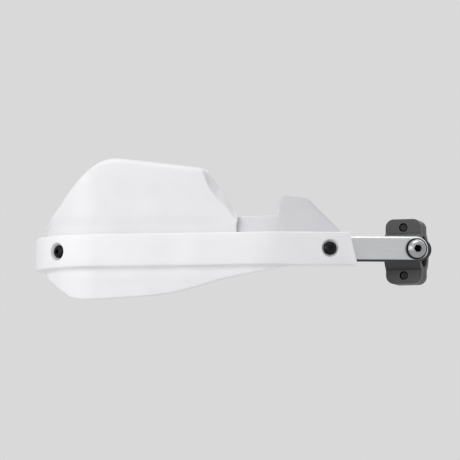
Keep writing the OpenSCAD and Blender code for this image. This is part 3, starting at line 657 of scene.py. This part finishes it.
# The washers, the nuts and the expander's wedge: steel with a clear zinc plating, brighter, with
# a crystal bloom of about 1 mm.
zinc_steel, tree, out = new_material("zinc_plated_steel")
place = add(tree, "ShaderNodeTexCoord")
bloom = add(tree, "ShaderNodeTexVoronoi", {
    "Vector": place.outputs["Object"], "Scale": 1 / (1 * MM)})
dull = add(tree, "ShaderNodeMapRange", {
    "Value": bloom.outputs["Distance"], "From Min": 0.0, "From Max": 0.8,
    "To Min": 0.24, "To Max": 0.36})
tone = add(tree, "ShaderNodeMix", {
    "Factor": bloom.outputs["Distance"], "A": colour("#B9BCC1"), "B": colour("#CDD0D4")},
    data_type="RGBA")
steel = add(tree, "ShaderNodeBsdfPrincipled", {
    "Base Color": tone.outputs["Result"], "Roughness": dull.outputs["Result"],
    "Metallic": 1.0})
tree.links.new(steel.outputs["BSDF"], out.inputs["Surface"])
dress(zinc_steel, "outer_shell_washer", "outer_shell_nut", "inner_shell_washer",
      "inner_shell_nut", "clamp_washers", "bar_end_washer", "wedge_nut")

# The clamp: two halves of cast aluminium, blasted and anodised black, which two bolts close
# round the bar. The blasting leaves a grain of 0.6 mm.
black_anodised_aluminium, tree, out = new_material("black_anodised_aluminium")
place = add(tree, "ShaderNodeTexCoord")
blasted = add(tree, "ShaderNodeTexNoise", {
    "Vector": place.outputs["Object"], "Scale": 1 / (0.6 * MM), "Detail": 3.0})
tone = add(tree, "ShaderNodeMix", {
    "Factor": blasted.outputs["Fac"], "A": colour("#161617"), "B": colour("#262628")},
    data_type="RGBA")
relief = add(tree, "ShaderNodeBump", {
    "Height": blasted.outputs["Fac"], "Strength": 0.35, "Distance": 0.06 * MM})
oxide = add(tree, "ShaderNodeBsdfPrincipled", {
    "Base Color": tone.outputs["Result"], "Roughness": 0.46,
    "Normal": relief.outputs["Normal"], "IOR": 1.65})
tree.links.new(oxide.outputs["BSDF"], out.inputs["Surface"])
dress(black_anodised_aluminium, "clamp_body", "clamp_cap")

# The bar-end spacer and the expander sleeve: turned from aluminium and left bright, with tool
# rings 0.4 mm apart round the bar's axis, which is X. A wave's rings lie 2 pi / 20 apart at a
# scale of 1.
turned_aluminium, tree, out = new_material("turned_aluminium")
place = add(tree, "ShaderNodeTexCoord")
rings = add(tree, "ShaderNodeTexWave", {
    "Vector": place.outputs["Object"], "Scale": 2 * math.pi / (20 * 0.4 * MM),
    "Distortion": 0.6, "Detail": 1.0},
    wave_type="BANDS", bands_direction="X")
relief = add(tree, "ShaderNodeBump", {
    "Height": rings.outputs["Fac"], "Strength": 0.3, "Distance": 0.03 * MM})
tone = add(tree, "ShaderNodeMix", {
    "Factor": rings.outputs["Fac"], "A": colour("#BFC1C4"), "B": colour("#D2D3D5")},
    data_type="RGBA")
metal = add(tree, "ShaderNodeBsdfPrincipled", {
    "Base Color": tone.outputs["Result"], "Roughness": 0.3,
    "Normal": relief.outputs["Normal"], "Metallic": 1.0})
tree.links.new(metal.outputs["BSDF"], out.inputs["Surface"])
dress(turned_aluminium, "bar_end_spacer", "expander_sleeve")

# The pivot bolt: the same black plating, rubbed through to grey steel on its head by the key and
# the weather. The key's socket, on the bolt's axis through the origin, is painted near black: the
# black plating, made darker still as painted shade in the recess.
worn_black_zinc_steel, tree, out = new_material("worn_black_zinc_steel")
place = add(tree, "ShaderNodeTexCoord")
off_axis = add(tree, "ShaderNodeVectorMath", {
    0: place.outputs["Object"], 1: (*front(ARM_TURN), 0)}, operation="CROSS_PRODUCT")
reach = add(tree, "ShaderNodeVectorMath", {0: off_axis.outputs["Vector"]}, operation="LENGTH")
# Painted shade: near black within about 2.4 mm of the bolt's axis, in the key's socket.
clean = add(tree, "ShaderNodeMapRange", {
    "Value": reach.outputs["Value"], "From Min": 2.4 * MM, "From Max": 2.8 * MM})
brushed = add(tree, "ShaderNodeTexNoise", {
    "Vector": place.outputs["Object"], "Scale": 1 / (0.8 * MM), "Detail": 3.0})
grey = add(tree, "ShaderNodeMix", {
    "Factor": brushed.outputs["Fac"], "A": colour("#9C9EA1"), "B": colour("#B8BABC")},
    data_type="RGBA")
tone = add(tree, "ShaderNodeMix", {
    "Factor": clean.outputs["Result"], "A": colour("#0C0C0D"), "B": grey.outputs["Result"]},
    data_type="RGBA")
relief = add(tree, "ShaderNodeBump", {
    "Height": brushed.outputs["Fac"], "Strength": 0.15, "Distance": 0.05 * MM})
steel = add(tree, "ShaderNodeBsdfPrincipled", {
    "Base Color": tone.outputs["Result"], "Roughness": 0.34,
    "Normal": relief.outputs["Normal"], "Metallic": 1.0})
tree.links.new(steel.outputs["BSDF"], out.inputs["Surface"])
dress(worn_black_zinc_steel, "pivot_bolt")

# The floor: one pale sheet of paper that takes the guard's shadow and fades into the plain
# background, which has the grey that the paper shows in this light. The guard is held by its
# clamp, so it hangs above the paper, and the camera has room to look up at it a little.
BACKGROUND = "#D9D9D9"
FLOOR_SIZE, FLOOR_DROP = 12, 0.2
FADE_FROM, FADE_TO = 0.25, 0.7
guard_mid = Vector((-0.12, -0.05, 0.015))
bpy.ops.mesh.primitive_grid_add(
    x_subdivisions=8, y_subdivisions=8, size=FLOOR_SIZE,
    location=(0, 0, cad_box[0][2] - FLOOR_DROP),
)
floor = bpy.context.object
floor.name = "floor"
bpy.ops.object.transform_apply(location=True, rotation=True, scale=True)
paper, tree, out = new_material("pale_paper")
place = add(tree, "ShaderNodeTexCoord")
away = add(tree, "ShaderNodeVectorMath", {
    0: place.outputs["Object"], 1: (guard_mid.x, guard_mid.y, 0)}, operation="DISTANCE")
fade = add(tree, "ShaderNodeMapRange", {
    "Value": away.outputs["Value"], "From Min": FADE_FROM, "From Max": FADE_TO})
path = add(tree, "ShaderNodeLightPath")
seen = add(tree, "ShaderNodeMath", {
    0: path.outputs["Is Camera Ray"], 1: path.outputs["Is Glossy Ray"]}, operation="MAXIMUM")
share = add(tree, "ShaderNodeMath", {0: seen.outputs["Value"], 1: fade.outputs["Result"]},
            operation="MULTIPLY")
sheet = add(tree, "ShaderNodeBsdfDiffuse", {"Color": colour("#EDEDED")})
plain = add(tree, "ShaderNodeEmission", {"Color": colour(BACKGROUND), "Strength": 1.0})
both = add(tree, "ShaderNodeMixShader", {
    "Fac": share.outputs["Value"], 1: sheet.outputs["BSDF"], 2: plain.outputs["Emission"]})
tree.links.new(both.outputs["Shader"], out.inputs["Surface"])
floor.data.materials.append(paper)

# The background beyond the floor, the light that fills the shadows, and the soft lamps. The key
# lamp stands to the outer side, so that the channel's outer end is the brightest.
FILL = 0.6
world = bpy.data.worlds.new("studio")
bpy.context.scene.world = world
world.use_nodes = True
tree = world.node_tree
tree.nodes.clear()
path = add(tree, "ShaderNodeLightPath")
seen = add(tree, "ShaderNodeMath", {
    0: path.outputs["Is Camera Ray"], 1: path.outputs["Is Glossy Ray"]}, operation="MAXIMUM")
level = add(tree, "ShaderNodeMapRange", {
    "Value": seen.outputs["Value"], "To Min": FILL, "To Max": 1.0})
sky = add(tree, "ShaderNodeBackground", {
    "Color": colour(BACKGROUND), "Strength": level.outputs["Result"]})
add(tree, "ShaderNodeOutputWorld", {"Surface": sky.outputs["Background"]})

for name, azimuth, elevation, distance, size, power in (
    ("key_lamp", -30, 11.5, 1.4, 0.8, 7.2),
    ("front_lamp", 5, 11.5, 1.6, 0.95, 1.8),
    ("top_lamp", -10, 82, 1.3, 1.0, 7.4),
    ("rear_lamp", 170, 35, 1.5, 0.8, 3),
):
    a, e = math.radians(azimuth), math.radians(elevation)
    away = Vector((math.sin(a) * math.cos(e), -math.cos(a) * math.cos(e), math.sin(e)))
    lamp = bpy.data.lights.new(name, "AREA")
    lamp.energy, lamp.size = power, size
    holder = bpy.data.objects.new(name, lamp)
    holder.location = guard_mid + distance * away
    holder.rotation_mode = "QUATERNION"
    holder.rotation_quaternion = (-away).to_track_quat("-Z", "Y")
    bpy.context.collection.objects.link(holder)

# The camera: far away with a long lens, as in the photograph, 15 degrees to the inner side of
# the guard. It looks up at it a little, so that the outer corner drops as it turns away, and is
# rolled a little, so that the guard rises inboard.
AZIMUTH, ELEVATION, ROLL = math.radians(15), math.radians(-4.5), math.radians(-0.4)
DISTANCE, VIEW_WIDTH = 3.0, 0.33
low_corner, high_corner = Vector(cad_box[0]), Vector(cad_box[1])
aim = (low_corner + high_corner) / 2
back = Vector((
    math.sin(AZIMUTH) * math.cos(ELEVATION), -math.cos(AZIMUTH) * math.cos(ELEVATION),
    math.sin(ELEVATION)))
lens = bpy.data.cameras.new("camera")
lens.sensor_width = 36
lens.lens = lens.sensor_width * DISTANCE / VIEW_WIDTH
lens.clip_end = 30
camera = bpy.data.objects.new("camera", lens)
camera.location = aim + DISTANCE * back
camera.rotation_mode = "QUATERNION"
camera.rotation_quaternion = (-back).to_track_quat("-Z", "Y") @ Quaternion((0, 0, 1), ROLL)
bpy.context.collection.objects.link(camera)
bpy.context.scene.camera = camera
bpy.context.scene.view_settings.view_transform = "Standard"
